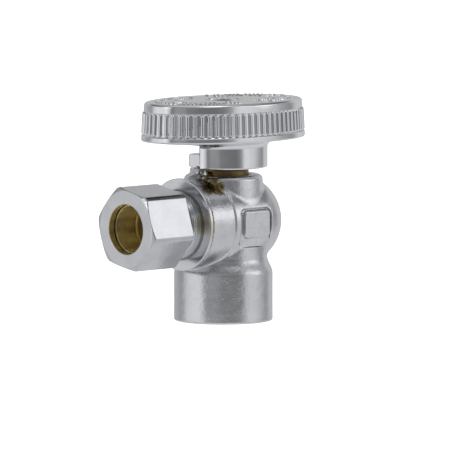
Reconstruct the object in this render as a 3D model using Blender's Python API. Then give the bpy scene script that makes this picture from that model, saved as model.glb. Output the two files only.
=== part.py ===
"""Quarter-turn angle stop valve.

A plated brass body has a threaded inlet below, a compression outlet in front and an oval handle on a vertical stem.
Lengths are in metres and +Z is up. The outlet points towards -Y. The origin is the centre of the inlet's rim.
Around the outlet, a "reach" is a distance from the stem's axis towards the outlet, which is along -Y.
"""

import math

import bmesh
import bpy


def mm(length):
    return length * 0.001


GAP = mm(0.3)
SHARP_ANGLE = math.radians(32)
ROUND_STEPS = 48
FINE_STEPS = 36
RING_STEPS = 28
ARC_STEPS = 4

# Body, outside
OUTLET_HEIGHT = mm(20.7)
BARREL_RADIUS = mm(10.28)
BARREL_EDGE = mm(0.35)
SHOULDER_HEIGHT = mm(9.9)
NECK_RADIUS = mm(9.15)
NECK_HEIGHT = mm(13.4)
CHAMBER_RADIUS = mm(9.4)
CHAMBER_REACH = mm(11.3)
BLOCK_RADIUS = mm(9.7)
BLOCK_REACH = mm(5.2)
DOME_CENTRE = mm(3.3)
COLLAR_RADIUS = mm(8.1)
COLLAR_TOP = mm(30.5)
COLLAR_EDGE = mm(0.9)
POST_RADIUS = mm(9.0)
POST_INNER = mm(6.9)
POST_TOP = mm(34.3)
POST_START = math.radians(172.9)
POST_END = math.radians(191.3)
WEB_INNER = mm(6.0)
WEB_RADIUS = mm(7.0)
WEB_TOP = mm(31.7)
WEB_START = math.radians(186)
WEB_END = math.radians(288)
PAD_CENTRE_Y = mm(1.0)
PAD_CENTRE_Z = mm(20.25)
PAD_LENGTH = mm(7.5)
PAD_HEIGHT = mm(5.9)
PAD_FACE = mm(9.5)
RECESS_LENGTH = mm(9.3)
RECESS_HEIGHT = mm(7.5)
RECESS_FLOOR = mm(8.65)

# Body, inside
SOCKET_DEPTH = mm(11.0)
SOCKET_MOUTH_RADIUS = mm(8.1)
SOCKET_TAPER = 1 / 32
SOCKET_CHAMFER = mm(0.8)
INLET_PORT_RADIUS = mm(2.9)
BORE_RADIUS = mm(5.9)
BORE_REACH = mm(7.2)
BORE_BACK = mm(6.9)
MOUTH_RADIUS = mm(7.35)
STEM_BORE_RADIUS = mm(3.4)
GLAND_BORE_RADIUS = mm(5.6)
GLAND_BORE_FLOOR = mm(27.6)

# Ball and seats
BALL_RADIUS = mm(5.4)
BALL_PORT_RADIUS = mm(2.6)
BALL_LOWER_RADIUS = mm(2.7)
BALL_SLOT_WIDTH = mm(2.6)
BALL_SLOT_FLOOR = mm(3.9)
SEAT_RADIUS = mm(5.6)
SEAT_BORE_RADIUS = mm(3.0)
SEAT_LIP = mm(3.0)
SEAT_BACK = mm(6.6)

# Outlet adapter
SPIGOT_RADIUS = MOUTH_RADIUS - GAP
SPIGOT_REACH = BORE_REACH + GAP
NOSE_BACK = SEAT_BACK + GAP
GROOVE_RADIUS = mm(5.75)
GROOVE_START = mm(9.4)
GROOVE_END = mm(11.0)
FLANGE_RADIUS = mm(9.6)
FLANGE_BACK = CHAMBER_REACH + GAP
FLANGE_FACE = mm(12.4)
FLANGE_CHAMFER = mm(0.15)
STEP_RADIUS = mm(7.1)
STEP_FACE = mm(14.2)
THREAD_RADIUS = mm(6.85)
NOSE_REACH = mm(21.2)
NOSE_MOUTH_RADIUS = mm(6.25)
TUBE_RADIUS = mm(4.85)
TUBE_STOP = mm(14.8)
CONE_END = mm(19.8)
ADAPTER_RING_RADIUS = mm(6.55)
ADAPTER_RING_CORD = mm(0.5)

# Compression nut and sleeve
NUT_FLATS = mm(15.875)
NUT_TURN = math.radians(-18.3)
NUT_BACK = mm(16.4)
NUT_FACE = mm(27.5)
NUT_FACE_RADIUS = mm(7.99)
NUT_FACE_CHAMFER = mm(0.55)
NUT_BACK_RADIUS = mm(8.9)
NUT_BACK_CHAMFER = mm(0.2)
NUT_BORE_RADIUS = THREAD_RADIUS + GAP
NUT_CAVITY_END = mm(24.9)
NUT_CONE_RADIUS = mm(6.3)
NUT_HOLE_RADIUS = mm(5.15)
NUT_EDGE = mm(0.2)
SLEEVE_RADIUS = mm(5.9)
SLEEVE_END_RADIUS = mm(5.0)

# Stem and gland
TANG_THICKNESS = mm(2.0)
TANG_WIDTH = mm(5.6)
TANG_BOTTOM = OUTLET_HEIGHT + BALL_SLOT_FLOOR + GAP
SHAFT_RADIUS = STEM_BORE_RADIUS - GAP
SHAFT_BOTTOM = mm(26.6)
STEM_FLANGE_RADIUS = mm(4.9)
STEM_FLANGE_BOTTOM = GLAND_BORE_FLOOR + GAP
STEM_FLANGE_TOP = mm(28.7)
JOURNAL_RADIUS = mm(3.2)
JOURNAL_TOP = mm(32.0)
STEM_GROOVE_RADIUS = mm(2.1)
STEM_GROOVE_BOTTOM = mm(30.0)
STEM_GROOVE_TOP = mm(31.4)
STEM_RING_RADIUS = mm(2.8)
STEM_RING_CORD = mm(0.45)
DRIVE_WIDTH = mm(4.2)
STEM_TOP = mm(41.0)
TAPPED_RADIUS = mm(1.75)
TAPPED_BOTTOM = mm(34.8)
WASHER_TOP = mm(29.4)
GLAND_RADIUS = GLAND_BORE_RADIUS - GAP
GLAND_BOTTOM = WASHER_TOP + GAP
GLAND_TOP = mm(31.7)
GLAND_EDGE = mm(0.25)

# Handle
HANDLE_LENGTH = mm(19.75)
HANDLE_WIDTH = mm(13.3)
HANDLE_FLARE = mm(0.25)
HANDLE_BOTTOM = mm(37.95)
HANDLE_LIP = mm(1.3)
HANDLE_BAND_TOP = mm(44.1)
HANDLE_WALL_TOP = mm(45.1)
HANDLE_TOP = mm(46.1)
RIB_COUNT = 66
RIB_HEIGHT = mm(0.4)
BOSS_BOTTOM = mm(36.9)
BOSS_RADIUS = mm(11.2)
SKIRT_RADIUS = mm(9.2)
SKIRT_INNER = mm(7.3)
SKIRT_BOTTOM = mm(32.05)
SKIRT_START = math.radians(-75)
SKIRT_END = math.radians(170.7)
HUB_RADIUS = mm(4.4)
HUB_BOTTOM = mm(32.4)
DRIVE_SOCKET_WIDTH = DRIVE_WIDTH + 2 * GAP
DRIVE_SOCKET_TOP = STEM_TOP + GAP
SCREW_HOLE_RADIUS = mm(2.2)
HEAD_BORE_RADIUS = mm(3.5)
HEAD_BORE_FLOOR = mm(43.3)

# Handle screw and its washer
SCREW_RADIUS = TAPPED_RADIUS - GAP
SCREW_BOTTOM = mm(35.3)
HEAD_RADIUS = mm(3.1)
HEAD_BOTTOM = mm(44.6)
HEAD_EDGE = mm(45.6)
HEAD_TOP = mm(46.4)
RECESS_WIDTH = mm(0.9)
RECESS_SPAN = mm(3.4)
RECESS_BOTTOM = mm(45.3)
LOCK_WASHER_INNER = mm(1.9)
LOCK_WASHER_OUTER = mm(3.1)
LOCK_WASHER_BOTTOM = HEAD_BORE_FLOOR + GAP
LOCK_WASHER_TOP = HEAD_BOTTOM - GAP
LOCK_WASHER_SPLIT = math.radians(7)


def remove_everything():
    for item in list(bpy.data.objects):
        bpy.data.objects.remove(item, do_unlink=True)


def make_material(name, colour, metallic, roughness):
    material = bpy.data.materials.new(name)
    material.use_nodes = True
    shader = material.node_tree.nodes["Principled BSDF"]
    shader.inputs["Base Color"].default_value = (*colour, 1)
    shader.inputs["Metallic"].default_value = metallic
    shader.inputs["Roughness"].default_value = roughness
    material.diffuse_color = (*colour, 1)
    return material


def make_piece(name, work, location):
    """Turns a finished bmesh into an object, facing out and shaded smooth between its sharp edges."""
    bmesh.ops.recalc_face_normals(work, faces=work.faces)
    mesh = bpy.data.meshes.new(name)
    work.to_mesh(mesh)
    work.free()
    mesh.shade_smooth()
    mesh.set_sharp_from_angle(angle=SHARP_ANGLE)
    piece = bpy.data.objects.new(name, mesh)
    piece.location = location
    bpy.context.scene.collection.objects.link(piece)
    return piece


def join_rings(work, first, second):
    """Faces between two rings of vertices. Either ring may be a single vertex."""
    count = max(len(first), len(second))
    for step in range(count):
        after = (step + 1) % count
        if len(first) == 1:
            work.faces.new((first[0], second[step], second[after]))
        elif len(second) == 1:
            work.faces.new((first[step], second[0], first[after]))
        else:
            work.faces.new((first[step], second[step], second[after], first[after]))


def turned(name, profile, steps, axis, location=(0, 0, 0)):
    """A solid of revolution from (radius, height) pairs.

    Heights run up the Z axis, or along the outlet's reach. A profile that starts on the axis also ends there.
    Any other profile is a closed ring.
    """
    work = bmesh.new()
    rings = []
    for radius, height in profile:
        ring = []
        for step in range(steps if radius > 0 else 1):
            angle = 2 * math.pi * step / steps
            across = radius * math.cos(angle)
            along = radius * math.sin(angle)
            place = (across, along, height) if axis == "Z" else (across, -height, along)
            ring.append(work.verts.new(place))
        rings.append(ring)
    for first, second in zip(rings, rings[1:]):
        join_rings(work, first, second)
    if profile[0][0] > 0:
        join_rings(work, rings[-1], rings[0])
    return make_piece(name, work, location)


def arc(centre_radius, centre_height, size, start, end, steps):
    """Profile points on a circular arc. Angles are in degrees from the outward direction."""
    points = []
    for step in range(steps + 1):
        angle = math.radians(start + (end - start) * step / steps)
        radius = centre_radius + size * math.cos(angle)
        height = centre_height + size * math.sin(angle)
        points.append((radius, height))
    return points


def block(name, size, centre, edge=0):
    """A box with its edges rounded by the given radius."""
    work = bmesh.new()
    bmesh.ops.create_cube(work, size=1)
    bmesh.ops.scale(work, vec=size, verts=work.verts)
    if edge > 0:
        bmesh.ops.bevel(work, geom=work.edges[:], offset=edge, segments=3, profile=0.5, affect="EDGES")
    bmesh.ops.translate(work, vec=centre, verts=work.verts)
    return make_piece(name, work, (0, 0, 0))


def ring_sector(name, inner, outer, bottom, top, start, end, steps, edge=0):
    """Part of a flat ring round the Z axis, with its long corners rounded by the given radius."""
    work = bmesh.new()
    sections = []
    for step in range(steps + 1):
        angle = start + (end - start) * step / steps
        section = []
        for radius, height in ((inner, bottom), (outer, bottom), (outer, top), (inner, top)):
            place = (radius * math.cos(angle), radius * math.sin(angle), height)
            section.append(work.verts.new(place))
        sections.append(section)
    for first, second in zip(sections, sections[1:]):
        join_rings(work, first, second)
    work.faces.new(sections[0])
    work.faces.new(sections[-1])
    if edge > 0:
        corners = [line for line in work.edges if line.calc_face_angle(0) > math.radians(60)]
        bmesh.ops.bevel(work, geom=corners, offset=edge, segments=2, profile=0.5, affect="EDGES")
    return make_piece(name, work, (0, 0, 0))


def combine(piece, partner, operation):
    modifier = piece.modifiers.new(partner.name, "BOOLEAN")
    modifier.object = partner
    modifier.operation = operation
    modifier.solver = "EXACT"
    partner.hide_render = True
    partner.display_type = "WIRE"


def add(piece, partner):
    combine(piece, partner, "UNION")


def cut(piece, partner):
    combine(piece, partner, "DIFFERENCE")


def o_ring(name, radius, cord, height, axis, location=(0, 0, 0)):
    profile = arc(radius, height, cord, 0, 360, 8)[:-1]
    return turned(name, profile, RING_STEPS, axis, location)


# Body


def body_barrel():
    """The inlet barrel, its rounded shoulder and the neck that runs up into the block."""
    rise = NECK_HEIGHT - SHOULDER_HEIGHT
    inset = BARREL_RADIUS - NECK_RADIUS
    top = OUTLET_HEIGHT + mm(1)
    profile = [(0, top), (NECK_RADIUS, top)]
    for step in range(6, -1, -1):
        share = step / 6
        ease = share * share * (3 - 2 * share)
        profile.append((BARREL_RADIUS - inset * ease, SHOULDER_HEIGHT + rise * share))
    profile.append((BARREL_RADIUS, BARREL_EDGE))
    profile.append((BARREL_RADIUS - BARREL_EDGE, 0))
    profile.append((0, 0))
    return turned("valve_body", profile, ROUND_STEPS, "Z")


def body_chamber():
    """The outlet's round chamber, the larger block behind it and the domed back, all round the outlet's axis."""
    profile = [(0, CHAMBER_REACH), (CHAMBER_RADIUS, CHAMBER_REACH), (CHAMBER_RADIUS, BLOCK_REACH)]
    profile.append((BLOCK_RADIUS - mm(0.08), BLOCK_REACH - mm(0.08)))
    profile.append((BLOCK_RADIUS, BLOCK_REACH - mm(0.4)))
    dome = arc(0, -DOME_CENTRE, BLOCK_RADIUS, 0, -90, 10)
    profile.extend(dome[:-1])
    profile.append((0, -DOME_CENTRE - BLOCK_RADIUS))
    return turned("body_chamber", profile, ROUND_STEPS, "OUTLET", (0, 0, OUTLET_HEIGHT))


def body_collar():
    """The round neck that the stem comes out of."""
    bottom = OUTLET_HEIGHT - mm(1.5)
    profile = [(0, bottom), (COLLAR_RADIUS, bottom)]
    centre = COLLAR_RADIUS - COLLAR_EDGE
    profile.extend(arc(centre, COLLAR_TOP - COLLAR_EDGE, COLLAR_EDGE, 0, 90, ARC_STEPS))
    profile.append((0, COLLAR_TOP))
    return turned("body_collar", profile, ROUND_STEPS, "Z")


def body_post():
    """The post that the handle's skirt meets at each end of its quarter turn."""
    bottom = COLLAR_TOP - mm(1.3)
    return ring_sector(
        "body_post", POST_INNER, POST_RADIUS, bottom, POST_TOP, POST_START, POST_END, 4, mm(0.75)
    )


def body_web():
    """The low web beside the post, on top of the collar and under the path of the skirt."""
    bottom = COLLAR_TOP - mm(1.1)
    return ring_sector("body_web", WEB_INNER, WEB_RADIUS, bottom, WEB_TOP, WEB_START, WEB_END, 16, mm(0.2))


def body_side(side):
    """A rounded recess in one side of the block, with a raised pad in it."""
    label = "left" if side < 0 else "right"
    depth = mm(3)
    recess_size = (depth, RECESS_LENGTH, RECESS_HEIGHT)
    recess_centre = (side * (RECESS_FLOOR + depth / 2), PAD_CENTRE_Y, PAD_CENTRE_Z)
    recess = block("recess_" + label, recess_size, recess_centre, mm(0.7))
    pad_size = (depth, PAD_LENGTH, PAD_HEIGHT)
    pad_centre = (side * (PAD_FACE - depth / 2), PAD_CENTRE_Y, PAD_CENTRE_Z)
    pad = block("pad_" + label, pad_size, pad_centre, mm(0.5))
    return recess, pad


def inlet_socket():
    """The tapered hole that is threaded for the supply pipe, and the port above it."""
    top_radius = SOCKET_MOUTH_RADIUS - SOCKET_DEPTH * SOCKET_TAPER
    rim_radius = SOCKET_MOUTH_RADIUS + SOCKET_CHAMFER
    profile = [(0, OUTLET_HEIGHT - mm(3)), (INLET_PORT_RADIUS, OUTLET_HEIGHT - mm(3))]
    profile.append((INLET_PORT_RADIUS, SOCKET_DEPTH + mm(0.6)))
    profile.append((top_radius, SOCKET_DEPTH))
    profile.append((SOCKET_MOUTH_RADIUS, SOCKET_CHAMFER))
    profile.append((rim_radius, 0))
    profile.append((rim_radius, -mm(1)))
    profile.append((0, -mm(1)))
    return turned("inlet_socket", profile, ROUND_STEPS, "Z")


def chamber_bore():
    """The hole that holds the ball, its seats and the adapter's spigot."""
    profile = [(0, CHAMBER_REACH + mm(1)), (MOUTH_RADIUS + GAP, CHAMBER_REACH + mm(1))]
    profile.append((MOUTH_RADIUS + GAP, CHAMBER_REACH))
    profile.append((MOUTH_RADIUS, CHAMBER_REACH - GAP))
    profile.append((MOUTH_RADIUS, BORE_REACH))
    profile.append((BORE_RADIUS, BORE_REACH))
    profile.append((BORE_RADIUS, -BORE_BACK))
    profile.append((0, -BORE_BACK))
    return turned("chamber_bore", profile, FINE_STEPS, "OUTLET", (0, 0, OUTLET_HEIGHT))


def stem_bore():
    """The hole for the stem, wider at the top for the gland."""
    profile = [(0, COLLAR_TOP + mm(1)), (GLAND_BORE_RADIUS, COLLAR_TOP + mm(1))]
    profile.append((GLAND_BORE_RADIUS, GLAND_BORE_FLOOR))
    profile.append((STEM_BORE_RADIUS, GLAND_BORE_FLOOR))
    profile.append((STEM_BORE_RADIUS, OUTLET_HEIGHT + mm(2)))
    profile.append((0, OUTLET_HEIGHT + mm(2)))
    return turned("stem_bore", profile, FINE_STEPS, "Z")


def make_body():
    body = body_barrel()
    add(body, body_chamber())
    add(body, body_collar())
    add(body, body_post())
    add(body, body_web())
    for side in (-1, 1):
        recess, pad = body_side(side)
        cut(body, recess)
        add(body, pad)
    cut(body, inlet_socket())
    cut(body, chamber_bore())
    cut(body, stem_bore())
    return body


# Outlet


def make_adapter():
    """The end piece: spigot with its seal groove, flange, step ring, threaded nose and tube socket."""
    profile = [(SEAT_BORE_RADIUS, NOSE_BACK), (SEAT_RADIUS, NOSE_BACK), (SEAT_RADIUS, SPIGOT_REACH)]
    profile.append((SPIGOT_RADIUS, SPIGOT_REACH))
    profile.append((SPIGOT_RADIUS, GROOVE_START))
    profile.append((GROOVE_RADIUS, GROOVE_START))
    profile.append((GROOVE_RADIUS, GROOVE_END))
    profile.append((SPIGOT_RADIUS, GROOVE_END))
    profile.append((SPIGOT_RADIUS, FLANGE_BACK))
    profile.append((FLANGE_RADIUS, FLANGE_BACK))
    profile.append((FLANGE_RADIUS, FLANGE_FACE - FLANGE_CHAMFER))
    profile.append((FLANGE_RADIUS - FLANGE_CHAMFER, FLANGE_FACE))
    profile.append((STEP_RADIUS, FLANGE_FACE))
    profile.append((STEP_RADIUS, STEP_FACE))
    profile.append((THREAD_RADIUS, STEP_FACE))
    profile.append((THREAD_RADIUS, NOSE_REACH - GAP))
    profile.append((THREAD_RADIUS - GAP, NOSE_REACH))
    profile.append((NOSE_MOUTH_RADIUS, NOSE_REACH))
    profile.append((TUBE_RADIUS, CONE_END))
    profile.append((TUBE_RADIUS, TUBE_STOP))
    profile.append((SEAT_BORE_RADIUS, TUBE_STOP))
    return turned("outlet_adapter", profile, FINE_STEPS, "OUTLET", (0, 0, OUTLET_HEIGHT))


def make_adapter_ring():
    middle = (GROOVE_START + GROOVE_END) / 2
    place = (0, 0, OUTLET_HEIGHT)
    return o_ring("adapter_o_ring", ADAPTER_RING_RADIUS, ADAPTER_RING_CORD, middle, "OUTLET", place)


def make_seat(name, side):
    """A seat ring with a hollow that follows the ball. The side is 1 in front of the ball and -1 behind it."""
    hollow = BALL_RADIUS + GAP
    first = math.degrees(math.asin(SEAT_LIP / hollow))
    last = math.degrees(math.acos(SEAT_BORE_RADIUS / hollow))
    profile = [(SEAT_RADIUS, SEAT_LIP)]
    profile.extend(arc(0, 0, hollow, first, last, 3))
    profile.append((SEAT_BORE_RADIUS, SEAT_BACK))
    profile.append((SEAT_RADIUS, SEAT_BACK))
    flipped = [(radius, side * height) for radius, height in profile]
    return turned(name, flipped, RING_STEPS, "OUTLET", (0, 0, OUTLET_HEIGHT))


def make_nut():
    """A hexagon nut, chamfered at both ends, with a cone inside its face that bears on the sleeve."""
    place = (0, 0, OUTLET_HEIGHT)
    corner = NUT_FLATS / 2 / math.cos(math.radians(30))
    work = bmesh.new()
    rings = []
    for reach in (NUT_BACK, NUT_FACE):
        ring = []
        for step in range(6):
            angle = NUT_TURN + step * math.radians(60)
            ring.append(work.verts.new((corner * math.sin(angle), -reach, corner * math.cos(angle))))
        rings.append(ring)
    join_rings(work, rings[0], rings[1])
    for ring in rings:
        work.faces.new(ring)
    nut = make_piece("compression_nut", work, place)
    over = corner + mm(0.15)
    outside = [(0, NUT_BACK), (NUT_BACK_RADIUS, NUT_BACK), (over, NUT_BACK + NUT_BACK_CHAMFER)]
    outside.append((over, NUT_FACE - NUT_FACE_CHAMFER))
    outside.append((NUT_FACE_RADIUS, NUT_FACE))
    outside.append((0, NUT_FACE))
    combine(nut, turned("nut_chamfers", outside, ROUND_STEPS, "OUTLET", place), "INTERSECT")
    cone_end = NUT_CAVITY_END + NUT_CONE_RADIUS - NUT_HOLE_RADIUS
    inside = [(0, NUT_BACK - mm(1)), (NUT_BORE_RADIUS + mm(0.5), NUT_BACK - mm(1))]
    inside.append((NUT_BORE_RADIUS + mm(0.5), NUT_BACK))
    inside.append((NUT_BORE_RADIUS, NUT_BACK + mm(0.5)))
    inside.append((NUT_BORE_RADIUS, NUT_CAVITY_END))
    inside.append((NUT_CONE_RADIUS, NUT_CAVITY_END))
    inside.append((NUT_HOLE_RADIUS, cone_end))
    inside.append((NUT_HOLE_RADIUS, NUT_FACE - NUT_EDGE))
    inside.append((NUT_HOLE_RADIUS + NUT_EDGE, NUT_FACE))
    inside.append((NUT_HOLE_RADIUS + NUT_EDGE, NUT_FACE + mm(1)))
    inside.append((0, NUT_FACE + mm(1)))
    cut(nut, turned("nut_bore", inside, FINE_STEPS, "OUTLET", place))
    return nut


def make_sleeve():
    """The sleeve: a short tube with a cone at each end, one for the adapter's mouth and one for the nut."""
    slant = GAP * math.sqrt(2)
    back = CONE_END + SLEEVE_END_RADIUS - TUBE_RADIUS + slant
    front = NUT_CAVITY_END + NUT_CONE_RADIUS - SLEEVE_END_RADIUS - slant
    cone = SLEEVE_RADIUS - SLEEVE_END_RADIUS
    profile = [(TUBE_RADIUS, back), (SLEEVE_END_RADIUS, back), (SLEEVE_RADIUS, back + cone)]
    profile.append((SLEEVE_RADIUS, front - cone))
    profile.append((SLEEVE_END_RADIUS, front))
    profile.append((TUBE_RADIUS, front))
    return turned("compression_sleeve", profile, FINE_STEPS, "OUTLET", (0, 0, OUTLET_HEIGHT))


# Ball and stem


def make_ball():
    """The ball, with one port down its turning axis, one out to the side and a slot across its top."""
    place = (0, 0, OUTLET_HEIGHT)
    sphere = [(0, -BALL_RADIUS)]
    sphere.extend(arc(0, 0, BALL_RADIUS, -90, 90, 13)[1:-1])
    sphere.append((0, BALL_RADIUS))
    ball = turned("ball", sphere, RING_STEPS, "Z", place)
    beyond = BALL_RADIUS + mm(1)
    side = [(0, beyond), (BALL_PORT_RADIUS, beyond), (BALL_PORT_RADIUS, -mm(0.4)), (0, -mm(1.6))]
    cut(ball, turned("ball_side_port", side, 24, "OUTLET", place))
    below = [(0, -beyond), (BALL_LOWER_RADIUS, -beyond), (BALL_LOWER_RADIUS, mm(1.2)), (0, mm(2.4))]
    cut(ball, turned("ball_lower_port", below, 22, "Z", place))
    depth = mm(3)
    slot_size = (2 * beyond, BALL_SLOT_WIDTH, depth)
    slot_centre = (0, 0, OUTLET_HEIGHT + BALL_SLOT_FLOOR + depth / 2)
    cut(ball, block("ball_slot", slot_size, slot_centre))
    return ball


def make_stem():
    """The stem: tang, shaft, thrust flange, journal with its seal groove, square drive and tapped top."""
    profile = [(0, SHAFT_BOTTOM), (SHAFT_RADIUS, SHAFT_BOTTOM), (SHAFT_RADIUS, STEM_FLANGE_BOTTOM)]
    profile.append((STEM_FLANGE_RADIUS, STEM_FLANGE_BOTTOM))
    profile.append((STEM_FLANGE_RADIUS, STEM_FLANGE_TOP))
    profile.append((JOURNAL_RADIUS, STEM_FLANGE_TOP))
    profile.append((JOURNAL_RADIUS, STEM_GROOVE_BOTTOM))
    profile.append((STEM_GROOVE_RADIUS, STEM_GROOVE_BOTTOM))
    profile.append((STEM_GROOVE_RADIUS, STEM_GROOVE_TOP))
    profile.append((JOURNAL_RADIUS, STEM_GROOVE_TOP))
    profile.append((JOURNAL_RADIUS, JOURNAL_TOP))
    profile.append((0, JOURNAL_TOP))
    stem = turned("stem", profile, FINE_STEPS, "Z")
    overlap = mm(0.4)
    tang_height = SHAFT_BOTTOM + overlap - TANG_BOTTOM
    tang_centre = (0, 0, TANG_BOTTOM + tang_height / 2)
    add(stem, block("stem_tang", (TANG_WIDTH, TANG_THICKNESS, tang_height), tang_centre))
    drive_height = STEM_TOP - JOURNAL_TOP + overlap
    drive_centre = (0, 0, STEM_TOP - drive_height / 2)
    add(stem, block("stem_drive", (DRIVE_WIDTH, DRIVE_WIDTH, drive_height), drive_centre))
    tip = TAPPED_BOTTOM - mm(0.9)
    hole = [(0, tip), (TAPPED_RADIUS, TAPPED_BOTTOM), (TAPPED_RADIUS, STEM_TOP + mm(1)), (0, STEM_TOP + mm(1))]
    cut(stem, turned("stem_tapped_hole", hole, 20, "Z"))
    return stem


def make_stem_ring():
    middle = (STEM_GROOVE_BOTTOM + STEM_GROOVE_TOP) / 2
    return o_ring("stem_o_ring", STEM_RING_RADIUS, STEM_RING_CORD, middle, "Z")


def make_thrust_washer():
    inner = JOURNAL_RADIUS + GAP
    bottom = STEM_FLANGE_TOP + GAP
    profile = [(inner, bottom), (STEM_FLANGE_RADIUS, bottom), (STEM_FLANGE_RADIUS, WASHER_TOP), (inner, WASHER_TOP)]
    return turned("stem_thrust_washer", profile, FINE_STEPS, "Z")


def make_gland():
    """The brass ring that closes the collar round the stem's journal."""
    inner = JOURNAL_RADIUS + GAP
    profile = [(inner, GLAND_BOTTOM), (GLAND_RADIUS, GLAND_BOTTOM), (GLAND_RADIUS, GLAND_TOP - GLAND_EDGE)]
    profile.append((GLAND_RADIUS - GLAND_EDGE, GLAND_TOP))
    profile.append((inner, GLAND_TOP))
    return turned("stem_gland", profile, FINE_STEPS, "Z")


# Handle


def oval_points(length, width, count):
    """Points at even spacing round an ellipse, each with its outward direction."""
    fine = 4096
    lengths = [0.0]
    before = (width, 0.0)
    for step in range(1, fine + 1):
        angle = 2 * math.pi * step / fine
        here = (width * math.cos(angle), length * math.sin(angle))
        lengths.append(lengths[-1] + math.dist(before, here))
        before = here
    points = []
    step = 0
    for index in range(count):
        wanted = lengths[-1] * index / count
        while lengths[step + 1] <= wanted:
            step += 1
        part = (wanted - lengths[step]) / (lengths[step + 1] - lengths[step])
        angle = 2 * math.pi * (step + part) / fine
        slope = (math.cos(angle) / width, math.sin(angle) / length)
        size = math.hypot(*slope)
        place = (width * math.cos(angle), length * math.sin(angle))
        points.append((place, (slope[0] / size, slope[1] / size)))
    return points


def oval_ring(work, outline, height, inset, rib_depth=0):
    """One ring of the handle's wall. Every pitch has two points on a rib and two in the groove beside it."""
    ring = []
    for index, (place, outward) in enumerate(outline):
        drop = inset + (rib_depth if index % 4 < 2 else 0)
        ring.append(work.verts.new((place[0] - drop * outward[0], place[1] - drop * outward[1], height)))
    return ring


def handle_knob():
    """The oval knob. Its lip stands as far out as the ribs, and its upper wall is level with the grooves."""
    work = bmesh.new()
    outline = oval_points(HANDLE_LENGTH, HANDLE_WIDTH, 4 * RIB_COUNT)
    band_bottom = HANDLE_BOTTOM + HANDLE_LIP
    edge = mm(0.3)
    wall = HANDLE_FLARE + RIB_HEIGHT
    rings = [oval_ring(work, outline, HANDLE_BOTTOM, edge)]
    rings.append(oval_ring(work, outline, HANDLE_BOTTOM + edge, 0))
    rings.append(oval_ring(work, outline, band_bottom, mm(0.08)))
    rings.append(oval_ring(work, outline, band_bottom + edge, mm(0.1), RIB_HEIGHT))
    rings.append(oval_ring(work, outline, HANDLE_BAND_TOP - edge, HANDLE_FLARE, RIB_HEIGHT))
    rings.append(oval_ring(work, outline, HANDLE_BAND_TOP, wall))
    rings.append(oval_ring(work, outline, HANDLE_WALL_TOP, wall + mm(0.15)))
    rings.append(oval_ring(work, outline, HANDLE_TOP - mm(0.3), wall + mm(0.45)))
    rings.append(oval_ring(work, outline, HANDLE_TOP, wall + mm(1.2)))
    for first, second in zip(rings, rings[1:]):
        join_rings(work, first, second)
    work.faces.new(rings[0])
    work.faces.new(rings[-1])
    return make_piece("handle", work, (0, 0, 0))


def make_handle():
    handle = handle_knob()
    inside = HANDLE_BOTTOM + mm(0.5)
    boss = [(0, BOSS_BOTTOM), (SKIRT_RADIUS - mm(0.4), BOSS_BOTTOM), (BOSS_RADIUS, HANDLE_BOTTOM)]
    boss.append((BOSS_RADIUS, inside))
    boss.append((0, inside))
    add(handle, turned("handle_boss", boss, ROUND_STEPS, "Z"))
    skirt = ring_sector(
        "handle_skirt", SKIRT_INNER, SKIRT_RADIUS, SKIRT_BOTTOM, inside, SKIRT_START, SKIRT_END, 36, mm(0.3)
    )
    add(handle, skirt)
    hub = [(0, HUB_BOTTOM), (HUB_RADIUS, HUB_BOTTOM), (HUB_RADIUS, inside), (0, inside)]
    add(handle, turned("handle_hub", hub, 32, "Z"))
    socket_bottom = HUB_BOTTOM - mm(1)
    socket_height = DRIVE_SOCKET_TOP - socket_bottom
    socket_size = (DRIVE_SOCKET_WIDTH, DRIVE_SOCKET_WIDTH, socket_height)
    cut(handle, block("drive_socket", socket_size, (0, 0, socket_bottom + socket_height / 2)))
    above = HANDLE_TOP + mm(1)
    hole = [(0, STEM_TOP), (SCREW_HOLE_RADIUS, STEM_TOP), (SCREW_HOLE_RADIUS, HEAD_BORE_FLOOR)]
    hole.append((HEAD_BORE_RADIUS, HEAD_BORE_FLOOR))
    hole.append((HEAD_BORE_RADIUS, above))
    hole.append((0, above))
    cut(handle, turned("screw_hole", hole, 32, "Z"))
    return handle


def make_screw():
    """The pan-head screw with a cross in its head."""
    profile = [(0, SCREW_BOTTOM), (SCREW_RADIUS - GAP, SCREW_BOTTOM), (SCREW_RADIUS, SCREW_BOTTOM + GAP)]
    profile.append((SCREW_RADIUS, HEAD_BOTTOM))
    profile.append((HEAD_RADIUS, HEAD_BOTTOM))
    profile.append((HEAD_RADIUS, HEAD_EDGE))
    profile.append((HEAD_RADIUS * 0.9, HEAD_EDGE + (HEAD_TOP - HEAD_EDGE) * 0.45))
    profile.append((HEAD_RADIUS * 0.6, HEAD_EDGE + (HEAD_TOP - HEAD_EDGE) * 0.85))
    profile.append((0, HEAD_TOP))
    screw = turned("handle_screw", profile, 28, "Z")
    height = mm(2)
    centre = (0, 0, RECESS_BOTTOM + height / 2)
    cut(screw, block("recess_across", (RECESS_SPAN, RECESS_WIDTH, height), centre))
    cut(screw, block("recess_along", (RECESS_WIDTH, RECESS_SPAN, height), centre))
    return screw


def make_lock_washer():
    start = LOCK_WASHER_SPLIT
    end = 2 * math.pi - LOCK_WASHER_SPLIT
    return ring_sector(
        "screw_lock_washer", LOCK_WASHER_INNER, LOCK_WASHER_OUTER, LOCK_WASHER_BOTTOM, LOCK_WASHER_TOP, start, end, 28
    )


def paint(piece, material_name, colour, metallic, roughness):
    piece.data.materials.clear()
    piece.data.materials.append(make_material(material_name, colour, metallic, roughness))


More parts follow.
